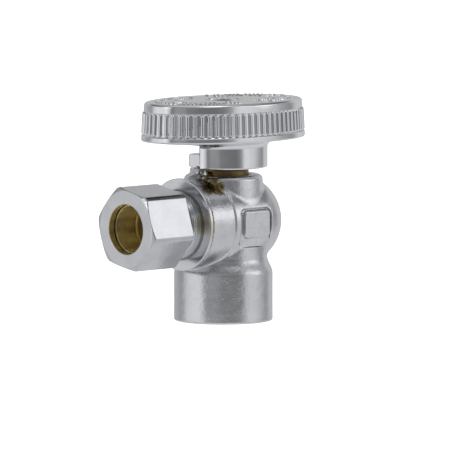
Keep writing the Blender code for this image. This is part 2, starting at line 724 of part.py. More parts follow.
def main():
    remove_everything()
    plated = (0.62, 0.64, 0.67)
    brass = (0.60, 0.44, 0.16)
    rubber = (0.02, 0.02, 0.02)
    white = (0.85, 0.85, 0.82)
    paint(make_body(), "body_plating", plated, 1.0, 0.30)
    paint(make_adapter(), "adapter_plating", plated, 1.0, 0.22)
    paint(make_adapter_ring(), "adapter_ring_rubber", rubber, 0.0, 0.6)
    paint(make_ball(), "ball_plating", plated, 1.0, 0.08)
    paint(make_seat("front_seat", 1), "front_seat_ptfe", white, 0.0, 0.45)
    paint(make_seat("rear_seat", -1), "rear_seat_ptfe", white, 0.0, 0.45)
    paint(make_stem(), "stem_brass", brass, 1.0, 0.25)
    paint(make_stem_ring(), "stem_ring_rubber", rubber, 0.0, 0.6)
    paint(make_thrust_washer(), "thrust_washer_ptfe", white, 0.0, 0.45)
    paint(make_gland(), "gland_brass", brass, 1.0, 0.25)
    paint(make_handle(), "handle_plating", plated, 1.0, 0.28)
    paint(make_screw(), "screw_steel", plated, 1.0, 0.15)
    paint(make_lock_washer(), "lock_washer_steel", plated, 1.0, 0.35)
    paint(make_nut(), "nut_plating", plated, 1.0, 0.10)
    paint(make_sleeve(), "sleeve_brass", brass, 1.0, 0.25)


main()
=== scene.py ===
"""Looks for the quarter-turn angle stop valve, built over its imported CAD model."""

import math

import bpy
import numpy as np
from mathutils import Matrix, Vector


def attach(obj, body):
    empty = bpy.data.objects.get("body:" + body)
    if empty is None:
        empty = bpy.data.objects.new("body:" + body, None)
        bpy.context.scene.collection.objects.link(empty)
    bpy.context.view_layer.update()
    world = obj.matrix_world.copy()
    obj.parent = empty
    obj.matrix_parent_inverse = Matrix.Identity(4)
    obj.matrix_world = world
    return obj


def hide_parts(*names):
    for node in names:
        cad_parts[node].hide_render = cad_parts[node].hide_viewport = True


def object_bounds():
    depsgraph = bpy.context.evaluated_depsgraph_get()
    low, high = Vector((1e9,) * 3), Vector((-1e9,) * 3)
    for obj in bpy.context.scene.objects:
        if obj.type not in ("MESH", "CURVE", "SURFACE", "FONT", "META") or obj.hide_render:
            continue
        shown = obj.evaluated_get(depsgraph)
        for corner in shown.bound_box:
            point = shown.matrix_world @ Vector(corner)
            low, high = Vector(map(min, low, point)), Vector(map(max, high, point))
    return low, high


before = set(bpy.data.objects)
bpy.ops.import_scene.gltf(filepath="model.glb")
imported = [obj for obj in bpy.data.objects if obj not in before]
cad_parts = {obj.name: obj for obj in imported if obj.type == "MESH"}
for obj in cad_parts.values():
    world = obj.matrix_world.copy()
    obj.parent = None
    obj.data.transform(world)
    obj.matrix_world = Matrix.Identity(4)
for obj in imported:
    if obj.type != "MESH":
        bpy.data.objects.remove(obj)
cad_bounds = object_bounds()

MM = 0.001
OUTLET_Z = 20.7
OUTLET_PITCH = 1.0583


# Distance fields, in millimetres: negative inside a shape


def round_join(a, b, radius):
    """Both shapes together, with a hollow fillet where they meet."""
    inside = np.hypot(np.maximum(radius - a, 0), np.maximum(radius - b, 0))
    return np.maximum(radius, np.minimum(a, b)) - inside


def round_both(a, b, radius):
    """Only where both shapes are, with a rounded edge."""
    outside = np.hypot(np.maximum(radius + a, 0), np.maximum(radius + b, 0))
    return np.minimum(-radius, np.maximum(a, b)) + outside


def round_cut(a, b, radius):
    return round_both(a, -b, radius)


def rounded_box(x, y, z, half, radius):
    dx = np.abs(x) - half[0] + radius
    dy = np.abs(y) - half[1] + radius
    dz = np.abs(z) - half[2] + radius
    outside = np.sqrt(np.maximum(dx, 0) ** 2 + np.maximum(dy, 0) ** 2 + np.maximum(dz, 0) ** 2)
    return outside + np.minimum(np.maximum(dx, np.maximum(dy, dz)), 0) - radius


def rounded_plate(u, v, half_u, half_v, corner):
    """A rectangle with rounded corners, endless in the third direction."""
    over_u = np.abs(u) - half_u + corner
    over_v = np.abs(v) - half_v + corner
    inside = np.minimum(np.maximum(over_u, over_v), 0)
    return np.hypot(np.maximum(over_u, 0), np.maximum(over_v, 0)) + inside - corner


def tooth_wave(turns):
    """A V-shaped thread: 0 in the root and 1 at the crest, once a turn, with a little flat at each."""
    saw = np.abs((turns % 1.0) * 2 - 1)
    return np.clip(saw * 1.25 - 0.125, 0, 1)


def surface_net(field, low, high, step):
    """A mesh of the field's surface: one point in each mixed cell, then moved onto the surface."""
    low = np.array(low, float)
    high = np.array(high, float)
    counts = np.ceil((high - low) / step).astype(int) + 1
    axes = [low[k] + step * np.arange(counts[k]) for k in range(3)]
    grid = np.meshgrid(*axes, indexing="ij")
    inside = field(*grid) < 0
    total = np.zeros([n - 1 for n in inside.shape], int)
    ends = [n - 1 for n in inside.shape]
    for i in (0, 1):
        for j in (0, 1):
            for k in (0, 1):
                total += inside[i : ends[0] + i, j : ends[1] + j, k : ends[2] + k]
    mixed = (total > 0) & (total < 8)
    index = np.full(total.shape, -1)
    index[mixed] = np.arange(mixed.sum())
    centres = low + step * (np.argwhere(mixed) + 0.5)
    faces = []
    for axis in range(3):
        values = np.moveaxis(inside, axis, 0)
        cells = np.moveaxis(index, axis, 0)
        before = values[:-1, 1:-1, 1:-1]
        after = values[1:, 1:-1, 1:-1]
        corners = [cells[:, :-1, :-1], cells[:, 1:, :-1], cells[:, 1:, 1:], cells[:, :-1, 1:]]
        flip = axis == 1
        for leaving in (True, False):
            pick = before & ~after if leaving else after & ~before
            quads = np.stack([c[pick] for c in corners], -1)
            faces.append(quads[:, ::-1] if leaving == flip else quads)
    points = centres.copy()
    small = 0.02
    steps = 6
    for _ in range(steps):
        value, slope = field_slope(field, points, small)
        points -= (value / np.maximum((slope**2).sum(-1), 0.05))[:, None] * slope
        points = np.clip(points, centres - 0.75 * step, centres + 0.75 * step)
    _, slope = field_slope(field, points, small)
    normals = slope / np.maximum(np.linalg.norm(slope, axis=-1, keepdims=True), 1e-6)
    return points, np.concatenate(faces), normals


def field_slope(field, points, small):
    value = field(*points.T)
    slope = np.empty_like(points)
    for k in range(3):
        ahead = points.copy()
        behind = points.copy()
        ahead[:, k] += small
        behind[:, k] -= small
        slope[:, k] = (field(*ahead.T) - field(*behind.T)) / (2 * small)
    return value, slope


# Meshes


def make_object(name, points, faces, normals=None, sharp=32):
    mesh = bpy.data.meshes.new(name)
    mesh.from_pydata((np.asarray(points) * MM).tolist(), [], [list(f) for f in faces])
    mesh.validate()
    mesh.shade_smooth()
    if normals is None:
        mesh.set_sharp_from_angle(angle=math.radians(sharp))
    else:
        mesh.normals_split_custom_set_from_vertices(normals.tolist())
    item = bpy.data.objects.new(name, mesh)
    bpy.context.scene.collection.objects.link(item)
    return item


def sculpted(name, field, low, high, step):
    points, faces, normals = surface_net(field, low, high, step)
    return make_object(name, points, faces.tolist(), normals)


def ring_faces(sizes, closed):
    """Faces between rings of points that are stored one after another. A ring may be a single point."""
    starts = np.concatenate([[0], np.cumsum(sizes)])
    pairs = [(k, k + 1) for k in range(len(sizes) - 1)]
    if closed:
        pairs.append((len(sizes) - 1, 0))
    faces = []
    for first, second in pairs:
        count = max(sizes[first], sizes[second])
        a = starts[first]
        b = starts[second]
        for step in range(count):
            after = (step + 1) % count
            if sizes[first] == 1:
                faces.append((a, b + after, b + step))
            elif sizes[second] == 1:
                faces.append((a + step, a + after, b))
            else:
                faces.append((a + step, a + after, b + after, b + step))
    return faces


def filleted(profile, radius, steps=4):
    """The closed profile with its corners rounded, as far as the lengths beside each corner allow."""
    points = [Vector(p) for p in profile]
    done = []
    for k, here in enumerate(points):
        before = points[k - 1] - here
        after = points[(k + 1) % len(points)] - here
        reach = min(radius, before.length * 0.45, after.length * 0.45)
        start = here + before.normalized() * reach
        end = here + after.normalized() * reach
        for step in range(steps + 1):
            t = step / steps
            done.append(tuple(start * (1 - t) ** 2 + here * 2 * t * (1 - t) + end * t**2))
    return done


def denser(profile, longest):
    """The closed profile with long stretches split, so that a thread can be cut into them."""
    done = []
    for k in range(len(profile)):
        start = np.array(profile[k])
        end = np.array(profile[(k + 1) % len(profile)])
        pieces = max(1, math.ceil(np.linalg.norm(end - start) / longest))
        done.extend(tuple(start + (end - start) * n / pieces) for n in range(pieces))
    return done


def turned(name, profile, axis, steps=128, ripple=None, sharp=32):
    """A ring-shaped solid of revolution from a closed run of (radius, height) pairs.

    The axis is Z, or the outlet's, and then the heights run outwards along it.
    """
    rings = []
    angles = 2 * np.pi * np.arange(steps) / steps
    for radius, height in profile:
        size = np.full(steps, float(radius))
        if ripple is not None:
            size = size + ripple(radius, height, angles)
        rings.append(np.stack([size * np.cos(angles), size * np.sin(angles), np.full(steps, height)], -1))
    points = np.concatenate(rings)
    if axis == "outlet":
        points = np.stack([points[:, 0], -points[:, 2], OUTLET_Z + points[:, 1]], -1)
    faces = ring_faces([steps] * len(rings), True)
    item = make_object(name, points, faces, sharp=sharp)
    corners = points[np.array(faces)]
    first = np.cross(corners[:, 1], corners[:, 2])
    second = np.cross(corners[:, 2], corners[:, 3])
    volume = (corners[:, 0] * (first + second)).sum()
    if volume < 0:
        item.data.flip_normals()
    return item


# Body

CHAMBER_RADIUS = 9.4
CHAMBER_FRONT = -11.3
CHAMBER_BACK = 2
BLOCK_RADIUS = 9.7
BLOCK_FRONT = -5.2
DOME_START = 3.3
BARREL_RADIUS = 10.28
SHOULDER_DEPTH = 1.13
SHOULDER_BOTTOM = 9.9
SHOULDER_HEIGHT = 3.5
COLLAR_RADIUS = 8.1
COLLAR_TOP = 30.5
COLLAR_BOTTOM = 18
COLLAR_DRAFT = 0.09
POST_ANGLE = math.radians(182.1)
POST_HALF_ANGLE = math.radians(9.2)
POST_INNER = 5.9
POST_OUTER = 9.0
POST_FOOT = 8.3
POST_MIDDLE = 32.85
POST_HALF_HEIGHT = 1.45
WEB_ANGLE = math.radians(237)
WEB_HALF_ANGLE = math.radians(51)
WEB_MIDDLE = 30.7
WEB_INNER = 6.0
WEB_OUTER = 7.0
PAD_FACE = 9.5
RECESS_FLOOR = 8.65
SOCKET_RADIUS = 8.1
SOCKET_DEPTH = 11
PIPE_PITCH = 1.411
INLET_BORE = 2.9
CHAMBER_BORE = 5.9
ADAPTER_BORE = 7.35
STEM_BORE = 3.4
GLAND_POCKET = 5.6
GLAND_FLOOR = 27.6


def forged_shape(x, y, z):
    """The outlet's chamber, the block behind it, the inlet's barrel and the stem's collar."""
    radial = np.hypot(x, y)
    height = z - OUTLET_Z
    chamber = np.hypot(x, height) - CHAMBER_RADIUS
    chamber = round_both(chamber, np.maximum(-(y - CHAMBER_FRONT), y - CHAMBER_BACK), 0.1)
    block = np.sqrt(x**2 + height**2 + np.maximum(y - DOME_START, 0) ** 2) - BLOCK_RADIUS
    block = round_both(block, -(y - BLOCK_FRONT), 0.12)
    shape = round_join(chamber, block, 0.2)
    rise = np.clip((z - SHOULDER_BOTTOM) / SHOULDER_HEIGHT, 0, 1)
    girth = BARREL_RADIUS - SHOULDER_DEPTH * rise * rise * (3 - 2 * rise)
    barrel = np.maximum((radial - girth) * 0.93, z - OUTLET_Z)
    barrel = round_both(barrel, -z, 0.35)
    shape = round_join(shape, barrel, 0.4)
    collar = (radial - COLLAR_RADIUS - (COLLAR_TOP - z) * COLLAR_DRAFT) * 0.99
    collar = np.maximum(round_both(collar, z - COLLAR_TOP, 0.9), COLLAR_BOTTOM - z)
    return round_join(shape, collar, 0.32)


def post_and_web(x, y, z):
    """The stop post on its narrower foot, and the low web that runs from it round the collar."""
    radial = np.hypot(x, y)
    out = x * math.cos(POST_ANGLE) + y * math.sin(POST_ANGLE)
    side = -x * math.sin(POST_ANGLE) + y * math.cos(POST_ANGLE)
    wedge = np.abs(side) * math.cos(POST_HALF_ANGLE) - out * math.sin(POST_HALF_ANGLE)
    post = np.maximum(radial - POST_OUTER, POST_INNER - radial)
    post = round_both(post, np.abs(z - POST_MIDDLE) - POST_HALF_HEIGHT, 0.55)
    foot = round_both(np.maximum(radial - POST_FOOT, POST_INNER - radial), np.abs(z - WEB_MIDDLE) - 1.6, 0.3)
    post = round_join(post, foot, 0.25)
    post = round_both(post, np.maximum(wedge, -out), 0.25)
    turned_on = (np.arctan2(y, x) - WEB_ANGLE) % (2 * np.pi)
    aside = (np.minimum(turned_on, 2 * np.pi - turned_on) - WEB_HALF_ANGLE) * radial
    web = np.maximum(radial - WEB_OUTER, WEB_INNER - radial)
    web = round_both(web, np.abs(z - WEB_MIDDLE) - 1.0, 0.25)
    return np.minimum(post, round_both(web, aside, 0.25))


def side_recess(x, y, z):
    plate = rounded_plate(y - 0.65, z - 19.87, 4.3, 3.97, 1.2)
    return np.maximum(plate, RECESS_FLOOR - np.abs(x))


def side_pad(x, y, z):
    across = np.abs(x)
    pad = np.maximum(rounded_plate(y - 1.0, z - 20.6, 3.65, 2.85, 1.1), 6.5 - across)
    return round_both(pad, across - PAD_FACE, 0.35)


def inlet_hollow(x, y, z):
    """The tapered thread with its chamfered mouth and its drilled end, and the bore above it."""
    radial = np.hypot(x, y)
    taper = SOCKET_RADIUS - z / 32
    wave = tooth_wave(z / PIPE_PITCH - np.arctan2(y, x) / (2 * np.pi))
    fade = np.clip((z - 0.2) / 1.2, 0, 1) * np.clip((10.6 - z) / 1.5, 0, 1)
    socket = np.maximum(radial - taper - (wave - 0.5) * 0.95 * fade, z - SOCKET_DEPTH)
    mouth = radial - 8.9 + z
    socket = np.minimum(socket * 0.8, np.maximum(mouth * 0.7, z - 2))
    tip = np.maximum(radial + (z - SOCKET_DEPTH) * 1.7 - 7.6, 10.9 - z)
    socket = np.minimum(socket, tip * 0.5)
    return np.minimum(socket, np.maximum(radial - INLET_BORE, z - 20))


def outlet_hollow(x, y, z):
    """The ball's chamber, the wider bore that takes the adapter, and its chamfer."""
    tube = np.hypot(x, z - OUTLET_Z)
    bore = np.maximum(tube - CHAMBER_BORE, y - 6.9)
    wide = np.maximum(tube - ADAPTER_BORE, y + 7.2)
    edge = np.maximum((tube - 7.65 + (y - CHAMBER_FRONT)) * 0.7, y + 9)
    return np.minimum(np.minimum(bore, wide), edge)


def stem_hollow(x, y, z):
    radial = np.hypot(x, y)
    bore = np.maximum(radial - STEM_BORE, 22 - z)
    return np.minimum(bore, np.maximum(radial - GLAND_POCKET, GLAND_FLOOR - z))


def body_field(x, y, z):
    shape = round_join(forged_shape(x, y, z), post_and_web(x, y, z), 0.45)
    shape = round_cut(shape, side_recess(x, y, z), 0.3)
    shape = round_join(shape, side_pad(x, y, z), 0.25)
    shape = round_cut(shape, inlet_hollow(x, y, z), 0.15)
    shape = round_cut(shape, outlet_hollow(x, y, z), 0.12)
    return round_cut(shape, stem_hollow(x, y, z), 0.15)


def make_body():
    return sculpted("body_forging", body_field, (-10.8, -11.8, -0.6), (10.8, 13.4, 34.9), 0.24)


# Outlet. In turned profiles a height is the distance along the outlet from the stem's axis

SPIGOT_RADIUS = 7.05
SEAT_POCKET = 5.6
RING_GROOVE = 5.75
FLANGE_RADIUS = 9.6
FLANGE_BACK = 11.6
FLANGE_FACE = 12.4
NECK_RADIUS = 7.1
NECK_END = 14.2
THREAD_RADIUS = 6.85
THREAD_END = 21.2
TUBE_SOCKET = 4.85
SOCKET_FLOOR = 14.8
ADAPTER_HOLE = 3.0

NUT_HALF_FLATS = 7.9375
NUT_TURN = -18.3
NUT_FACE = 27.5
NUT_BACK = 16.4
NUT_HOLE = 5.15
NUT_THREAD = 7.1
NUT_THREAD_END = 24.9

SLEEVE_INNER = 4.85
SLEEVE_OUTER = 5.9


def adapter_thread(radius, height, angles):
    """The outside thread, 24 to the inch, fading out at both ends."""
    if radius < 6.6 or height < NECK_END or height > THREAD_END + 0.1:
        return np.zeros_like(angles)
    fade = min(1, max(0, (height - 14.4) / 0.8)) * min(1, max(0, (THREAD_END - height) / 0.5))
    return (tooth_wave(height / OUTLET_PITCH + angles / (2 * np.pi)) - 0.55) * 0.6 * fade


def make_adapter():
    profile = [(ADAPTER_HOLE, 6.9), (SEAT_POCKET, 6.9), (SEAT_POCKET, 7.5), (SPIGOT_RADIUS, 7.5)]
    profile += [(SPIGOT_RADIUS, 9.4), (RING_GROOVE, 9.4), (RING_GROOVE, 11.0), (SPIGOT_RADIUS, 11.0)]
    profile += [(SPIGOT_RADIUS, FLANGE_BACK), (FLANGE_RADIUS, FLANGE_BACK), (FLANGE_RADIUS, FLANGE_FACE)]
    profile += [(NECK_RADIUS, FLANGE_FACE), (NECK_RADIUS, NECK_END), (THREAD_RADIUS, NECK_END)]
    profile += [(THREAD_RADIUS, 20.9), (6.55, THREAD_END), (6.25, THREAD_END), (TUBE_SOCKET, 19.8)]
    profile += [(TUBE_SOCKET, SOCKET_FLOOR), (ADAPTER_HOLE, SOCKET_FLOOR)]
    smooth = filleted(profile, 0.16, 3)
    return turned("adapter_turned", denser(smooth, 0.11), "outlet", 144, adapter_thread, 40)


def nut_outside(x, reach, height):
    """The hexagon with its cut corners, front and back."""
    tube = np.hypot(x, height)
    hexagon = np.full_like(tube, -1e3)
    for step in range(3):
        angle = math.radians(NUT_TURN) + math.radians(30 + 60 * step)
        flat = np.abs(x * math.sin(angle) + height * math.cos(angle)) - NUT_HALF_FLATS
        hexagon = round_both(hexagon, flat, 0.6)
    front = (tube - 7.99) * 0.42 + (reach - NUT_FACE) * 0.907
    back = (tube - 8.9) * 0.45 + (NUT_BACK - reach) * 0.89
    shape = round_both(hexagon, front, 0.12)
    shape = round_both(shape, back, 0.12)
    shape = round_both(shape, reach - NUT_FACE, 0.05)
    return round_both(shape, NUT_BACK - reach, 0.05)


def nut_inside(x, reach, height):
    """The thread, the cone that closes on the sleeve, the tube's hole, and a chamfer at each end."""
    tube = np.hypot(x, height)
    turns = reach / OUTLET_PITCH + np.arctan2(height, x) / (2 * np.pi)
    fade = np.clip((reach - 16.6) / 0.8, 0, 1) * np.clip((NUT_THREAD_END - reach) / 0.8, 0, 1)
    thread = tube - NUT_THREAD - (tooth_wave(turns) - 0.45) * 0.6 * fade
    cavity = np.maximum(thread * 0.8, reach - NUT_THREAD_END)
    cone = np.maximum((tube + reach - 31.2) * 0.707, 24.8 - reach)
    lead = (tube - 7.65 + (reach - NUT_BACK)) * 0.7
    hollow = np.minimum(np.minimum(cavity, cone), np.maximum(tube - NUT_HOLE, 24.8 - reach))
    hollow = np.minimum(hollow, lead + (reach > 19) * 9)
    lip = (tube - NUT_HOLE + (27.38 - reach)) * 0.7
    return np.minimum(hollow, lip + (reach < 26) * 9)


def nut_field(x, y, z):
    height = z - OUTLET_Z
    return round_cut(nut_outside(x, -y, height), nut_inside(x, -y, height), 0.06)


def make_nut():
    return sculpted("hex_nut", nut_field, (-9.8, -28.0, 11.0), (9.8, -15.9, 30.4), 0.17)


def make_sleeve():
    profile = [(SLEEVE_INNER, 20.37), (5.0, 20.37), (SLEEVE_OUTER, 21.27)]
    profile += [(SLEEVE_OUTER, 24.88), (5.0, 25.78), (SLEEVE_INNER, 25.78)]
    return turned("brass_sleeve", denser(filleted(profile, 0.08, 3), 0.4), "outlet", 128)


# Ball, stem and seals

BALL_RADIUS = 5.4
FRONT_PORT = 2.6
LOWER_PORT = 2.7
SLOT_HALF_WIDTH = 1.3
SLOT_FLOOR = 3.9
SEAT_SPHERE = 5.7
SEAT_BORE = 3.0
SEAT_OUTER = 5.6
SEAT_BACK = 6.6
STEM_RADIUS = 3.1
STEM_FLANGE = 4.9
JOURNAL_RADIUS = 3.2
GROOVE_RADIUS = 2.1
STEM_RING_HEIGHT = 30.7
TAPPED_RADIUS = 1.75
STEM_PITCH = 0.794
WASHER_BOTTOM = 29.0
WASHER_TOP = 29.4
GLAND_OUTER = 5.3
GLAND_INNER = 3.5
GLAND_MIDDLE = 30.7


def ball_field(x, y, z):
    height = z - OUTLET_Z
    ball = np.sqrt(x**2 + y**2 + height**2) - BALL_RADIUS
    side = np.maximum(np.hypot(x, height) - FRONT_PORT, y - 0.4)
    below = np.maximum(np.hypot(x, y) - LOWER_PORT, height - 1.8)
    slot = np.maximum(np.abs(y) - SLOT_HALF_WIDTH, SLOT_FLOOR - height)
    shape = round_cut(ball, np.minimum(side, below), 0.2)
    return round_cut(shape, slot, 0.15)


def make_ball():
    return sculpted("polished_ball", ball_field, (-5.8, -5.8, 14.9), (5.8, 5.8, 26.5), 0.2)


def stem_field(x, y, z):
    radial = np.hypot(x, y)
    shaft = round_both(radial - STEM_RADIUS, np.maximum(26.6 - z, z - 29), 0.1)
    flange = round_both(radial - STEM_FLANGE, np.abs(z - 28.3) - 0.4, 0.12)
    journal = round_both(radial - JOURNAL_RADIUS, np.maximum(28 - z, z - 32.0), 0.12)
    groove = np.maximum(GROOVE_RADIUS - radial, np.abs(z - STEM_RING_HEIGHT) - 0.7)
    journal = round_cut(journal, groove, 0.08)
    tang = rounded_box(x, y, z - 26.0, (2.8, 1.0, 1.1), 0.15)
    drive = rounded_box(x, y, z - 36.0, (2.1, 2.1, 5.0), 0.25)
    shape = round_join(np.minimum(shaft, journal), flange, 0.05)
    shape = np.minimum(np.minimum(shape, tang), drive)
    turns = z / STEM_PITCH - np.arctan2(y, x) / (2 * np.pi)
    tapped = radial - TAPPED_RADIUS - (tooth_wave(turns) - 0.5) * 0.25
    return round_cut(shape, np.maximum(tapped, 34.8 - z), 0.08)


def make_stem():
    return sculpted("turned_stem", stem_field, (-5.2, -5.2, 24.5), (5.2, 5.2, 41.4), 0.16)


def torus(name, radius, cord, height, axis):
    angles = 2 * np.pi * np.arange(28) / 28
    profile = [(radius + cord * math.cos(a), height + cord * math.sin(a)) for a in angles]
    return turned(name, profile, axis, 112, sharp=180)


def make_seat(name, side):
    """A ring with a hollow that fits the ball, on the outlet side (1) or behind the ball (-1)."""
    first = math.asin(SEAT_BORE / SEAT_SPHERE)
    last = math.acos(SEAT_BORE / SEAT_SPHERE)
    profile = [(SEAT_OUTER, SEAT_BORE)]
    steps = 8
    for step in range(steps + 1):
        angle = first + (last - first) * step / steps
        profile.append((SEAT_SPHERE * math.cos(angle), SEAT_SPHERE * math.sin(angle)))
    profile += [(SEAT_BORE, SEAT_BACK), (SEAT_OUTER, SEAT_BACK)]
    flipped = [(r, side * h) for r, h in profile]
    return turned(name, filleted(flipped, 0.12, 3), "outlet", 112)


def make_thrust_washer():
    profile = [(GLAND_INNER, WASHER_BOTTOM), (STEM_FLANGE, WASHER_BOTTOM)]
    profile += [(STEM_FLANGE, WASHER_TOP), (GLAND_INNER, WASHER_TOP)]
    return turned("ptfe_washer", denser(filleted(profile, 0.1, 3), 0.3), "up", 112)


def gland_field(x, y, z):
    radial = np.hypot(x, y)
    ring = np.maximum(radial - GLAND_OUTER, GLAND_INNER - radial)
    ring = round_both(ring, np.abs(z - GLAND_MIDDLE) - 1.0, 0.2)
    slot = np.maximum(np.abs(x * 0.73 - y * 0.68) - 0.6, 31.15 - z)
    return round_cut(ring, slot, 0.1)


def make_gland():
    return sculpted("brass_gland", gland_field, (-5.6, -5.6, 29.4), (5.6, 5.6, 32.0), 0.14)


# Handle

KNOB_HALF_LENGTH = 19.75
KNOB_HALF_WIDTH = 13.3
KNOB_BOTTOM = 37.95
KNOB_TOP = 46.06
LIP_RADIUS = 0.35
RIBS = 66
RIB_POINTS = 14
RIB_BOTTOM = 39.3
RIB_TOP = 44.05
RIB_DEPTH = 0.45
RIB_HALF_WIDTH = 0.44
SHOULDER_START = 45.36
SHOULDER_INSET = 0.61
SHOULDER_RADIUS = 0.65
COUNTERBORE = 3.5
COUNTERBORE_FLOOR = 43.3
SCREW_HOLE = 2.2
SCREW_HOLE_FLOOR = 41.5

SKIRT_OUTER = 9.2
SKIRT_INNER = 7.3
SKIRT_BOTTOM = 32.05
CONE_BOTTOM = 36.9
CONE_RADIUS = 11.3
NOTCH_ANGLE = math.radians(227.85)
NOTCH_HALF_ANGLE = math.radians(57.15)
HUB_RADIUS = 4.4
HUB_BOTTOM = 32.4
SQUARE_HALF = 2.4
UNDER_KNOB = 38.3


def oval_outline(length, width, count):
    """Evenly spaced points round an oval, the direction outwards at each, and the length all round."""
    fine = np.linspace(0, 2 * np.pi, 20001)
    x = width * np.cos(fine)
    y = length * np.sin(fine)
    run = np.concatenate([[0], np.cumsum(np.hypot(np.diff(x), np.diff(y)))])
    angle = np.interp(run[-1] * np.arange(count) / count, run, fine)
    place = np.stack([width * np.cos(angle), length * np.sin(angle)], -1)
    slope = np.stack([np.cos(angle) / width, np.sin(angle) / length], -1)
    return place, slope / np.linalg.norm(slope, axis=-1, keepdims=True), run[-1]


def rib_inset(height, along):
    """How far in the ribbed wall lies at a height: half-round ribs between the lip and the plain band."""
    middle = (RIB_BOTTOM + RIB_TOP) / 2
    tall = (RIB_TOP - RIB_BOTTOM) / 2
    flare = 0.27 * (height - 38.9) / 5.2
    ends = max(0.0, abs(height - middle) - (tall - RIB_HALF_WIDTH))
    rib = np.sqrt(np.clip(1 - (np.hypot(along, ends) / RIB_HALF_WIDTH) ** 2, 0, 1))
    lip = np.clip((RIB_BOTTOM - height) / 0.2, 0, 1)
    band = np.clip((height - RIB_TOP + 0.08) / 0.16, 0, 1) * 0.45
    plain = max(lip, band)
    raised = np.maximum(rib, plain**2 * (3 - 2 * plain))
    return flare + RIB_DEPTH * (1 - raised)


def knob_side(along):
    """Height and inset of each oval, from the underside round the rim to the edge of the flat top."""
    rings = [(KNOB_BOTTOM, inset) for inset in (8.0, 4.0, 1.2, 0.5)]
    for step in range(5):
        angle = math.radians(90 * (step + 0.5) / 5)
        rings.append((38.3 - LIP_RADIUS * math.cos(angle), LIP_RADIUS - LIP_RADIUS * math.sin(angle)))
    rings += [(38.5, 0.0), (38.9, 0.02)]
    heights = list(np.arange(39.0, 39.75, 0.07))
    heights += list(np.arange(39.9, 43.4, 0.35))
    heights += list(np.arange(43.45, 44.5, 0.07))
    rings += [(height, rib_inset(height, along)) for height in heights]
    rings += [(44.7, 0.54), (45.05, 0.58), (SHOULDER_START, SHOULDER_INSET)]
    for step in range(1, 9):
        angle = math.radians(84 * step / 8)
        inset = SHOULDER_INSET + SHOULDER_RADIUS * (1 - math.cos(angle))
        rings.append((SHOULDER_START + SHOULDER_RADIUS * math.sin(angle), inset))
    return rings + [(46.03, 1.8), (KNOB_TOP, 2.6)]


def make_knob():
    """The oval knob in one closed skin, from the middle of its underside to the bottom of the screw hole."""
    count = RIBS * RIB_POINTS
    place, outward, girth = oval_outline(KNOB_HALF_LENGTH, KNOB_HALF_WIDTH, count)
    pitch = girth / RIBS
    along = np.abs(((np.arange(count) + 0.5) % RIB_POINTS) / RIB_POINTS - 0.5) * pitch
    rings = [np.array([[0, 0, KNOB_BOTTOM]])]
    for height, inset in knob_side(along):
        flat = place - np.broadcast_to(inset, count)[:, None] * outward
        rings.append(np.concatenate([flat, np.full((count, 1), height)], 1))
    outer = rings[-1][:, :2]
    facing = outer / np.linalg.norm(outer, axis=-1, keepdims=True)
    for share in (0.15, 0.4, 0.7, 0.9):
        flat = outer * (1 - share) + facing * 3.75 * share
        rings.append(np.concatenate([flat, np.full((count, 1), KNOB_TOP + 0.04 * share)], 1))
    recess = [(3.62, 46.1), (3.54, 46.07), (COUNTERBORE, 45.98), (COUNTERBORE, COUNTERBORE_FLOOR + 0.1)]
    recess += [(3.4, COUNTERBORE_FLOOR), (SCREW_HOLE, COUNTERBORE_FLOOR), (SCREW_HOLE, SCREW_HOLE_FLOOR)]
    for radius, height in recess:
        rings.append(np.concatenate([facing * radius, np.full((count, 1), height)], 1))
    rings.append(np.array([[0, 0, SCREW_HOLE_FLOOR]]))
    points = np.concatenate(rings)
    faces = ring_faces([len(r) for r in rings], False)
    return make_object("knob", points, faces, sharp=60)


def skirt_field(x, y, z):
    """What hangs under the knob: the cone, the part-round stop skirt and the hub with its square socket."""
    radial = np.hypot(x, y)
    cone = (radial - 8.8) * 0.35 + (CONE_BOTTOM - z) * 0.94
    cone = np.maximum(cone, np.maximum(radial - CONE_RADIUS, CONE_BOTTOM - z))
    cone = np.maximum(cone, z - 38.6)
    wall = np.maximum(radial - SKIRT_OUTER, SKIRT_INNER - radial)
    wall = round_both(wall, np.maximum(SKIRT_BOTTOM - z, z - UNDER_KNOB), 0.3)
    off = x * math.cos(NOTCH_ANGLE) + y * math.sin(NOTCH_ANGLE)
    side = np.abs(-x * math.sin(NOTCH_ANGLE) + y * math.cos(NOTCH_ANGLE))
    notch = side * math.cos(NOTCH_HALF_ANGLE) - off * math.sin(NOTCH_HALF_ANGLE)
    wall = round_cut(wall, notch, 0.12)
    hub = np.maximum(round_both(radial - HUB_RADIUS, HUB_BOTTOM - z, 0.3), z - UNDER_KNOB)
    shape = round_join(round_join(cone, wall, 0.7), hub, 0.7)
    socket = np.maximum(np.maximum(np.abs(x), np.abs(y)) - SQUARE_HALF, z - 38.4)
    return round_cut(shape, socket, 0.12)


def make_skirt():
    return sculpted("knob_skirt", skirt_field, (-11.8, -11.8, 31.6), (11.8, 11.8, 38.9), 0.2)


def mark(points, faces, centre, along, length, width, top):
    """One raised bar with sloping sides, added to the lists of points and faces."""
    along = np.array(along) / np.linalg.norm(along)
    over = np.array([-along[1], along[0]])
    start = len(points)
    for height, shrink in ((MARK_BOTTOM, 0.0), (top - 0.06, 0.05), (top, 0.12)):
        for a, b in ((-1, -1), (1, -1), (1, 1), (-1, 1)):
            flat = np.array(centre) + along * a * (length / 2 - shrink) + over * b * (width / 2 - shrink)
            points.append((flat[0], flat[1], height))
    for low in (start, start + 4):
        for k in range(4):
            after = (k + 1) % 4
            faces.append((low + k, low + after, low + 4 + after, low + 4 + k))
    faces.append((start + 8, start + 9, start + 10, start + 11))
    faces.append((start + 3, start + 2, start + 1, start + 0))


MARK_BOTTOM = 45.9
MARK_TOP = 46.28
STROKE_TOP = 46.26

